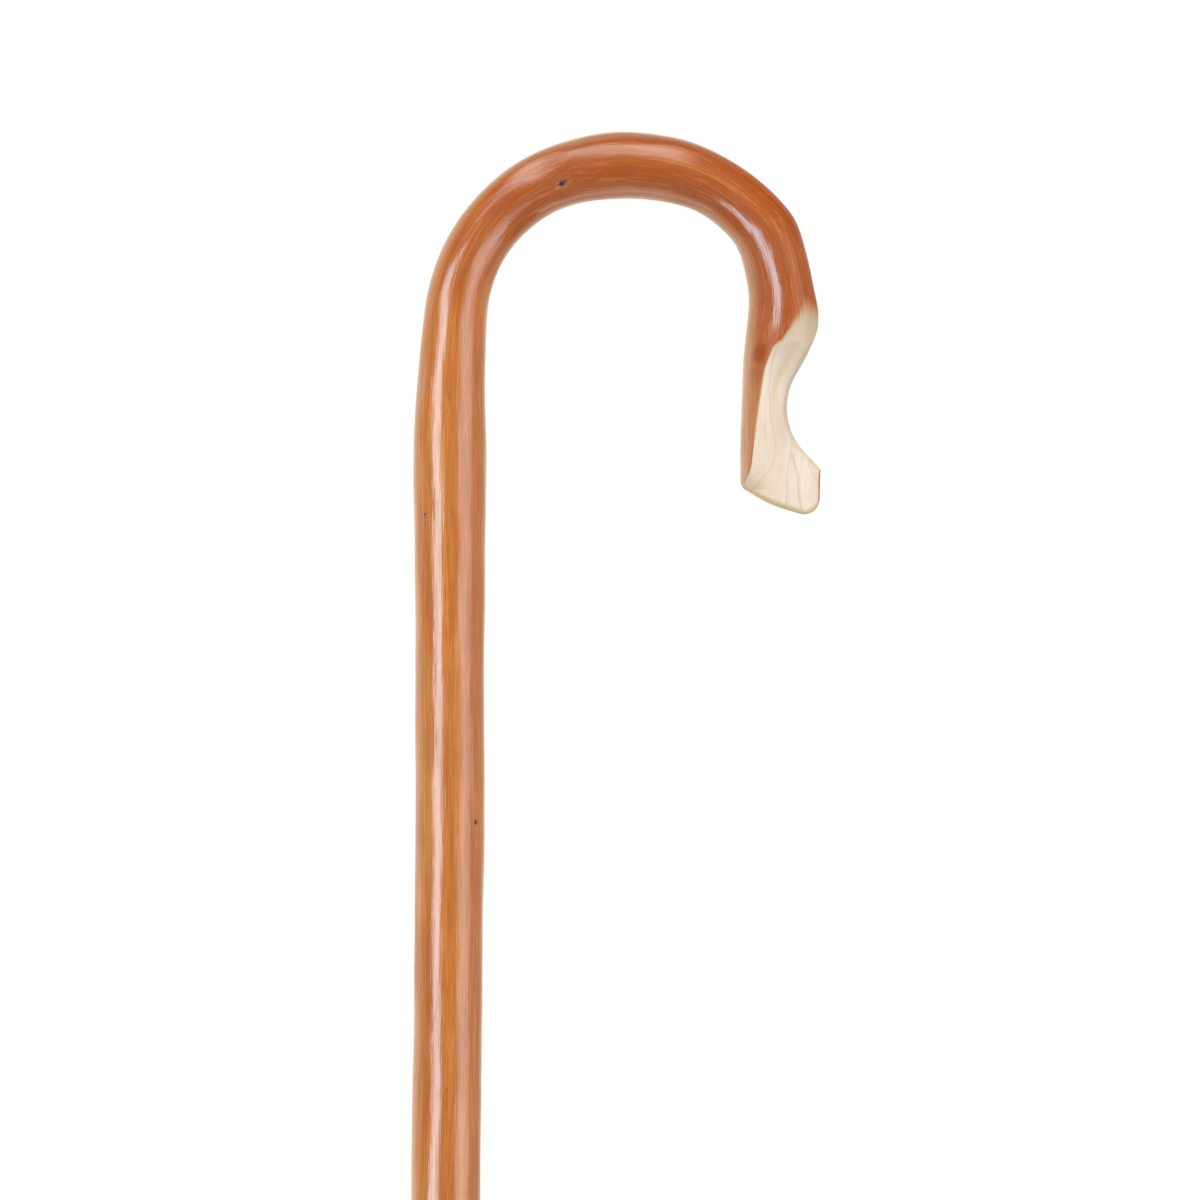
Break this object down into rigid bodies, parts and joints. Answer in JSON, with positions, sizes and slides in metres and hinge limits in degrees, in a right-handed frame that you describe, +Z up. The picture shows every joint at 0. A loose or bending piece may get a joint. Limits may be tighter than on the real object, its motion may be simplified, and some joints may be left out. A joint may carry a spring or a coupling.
{
  "type": "shepherd crook",
  "caption": "Long round wooden stick, steam-bent at the top into an open hook with a whittled, turned-out nose, and shod with a metal ferrule. Catches a sheep by the neck, and is walked with.",
  "frame": {"origin": "centre of the ferrule's sole, on the shank's axis", "axes": "+Z up along the shank; the hook bends over towards +X; +Y is across the hook, so the hook lies in the XZ plane"},
  "size_m": [0.1507, 0.0266, 1.2702],
  "materials": {
    "varnished_chestnut": "satin varnish over stained wood, bare wood on the whittled nose",
    "brass": "brushed, slightly dulled",
    "steel": "worn"
  },
  "bodies": {
    "root": {"chestnut_stick": "varnished_chestnut", "ferrule_sleeve": "brass", "ferrule_tip": "steel", "ferrule_pins": "brass"}
  },
  "joints": []
}
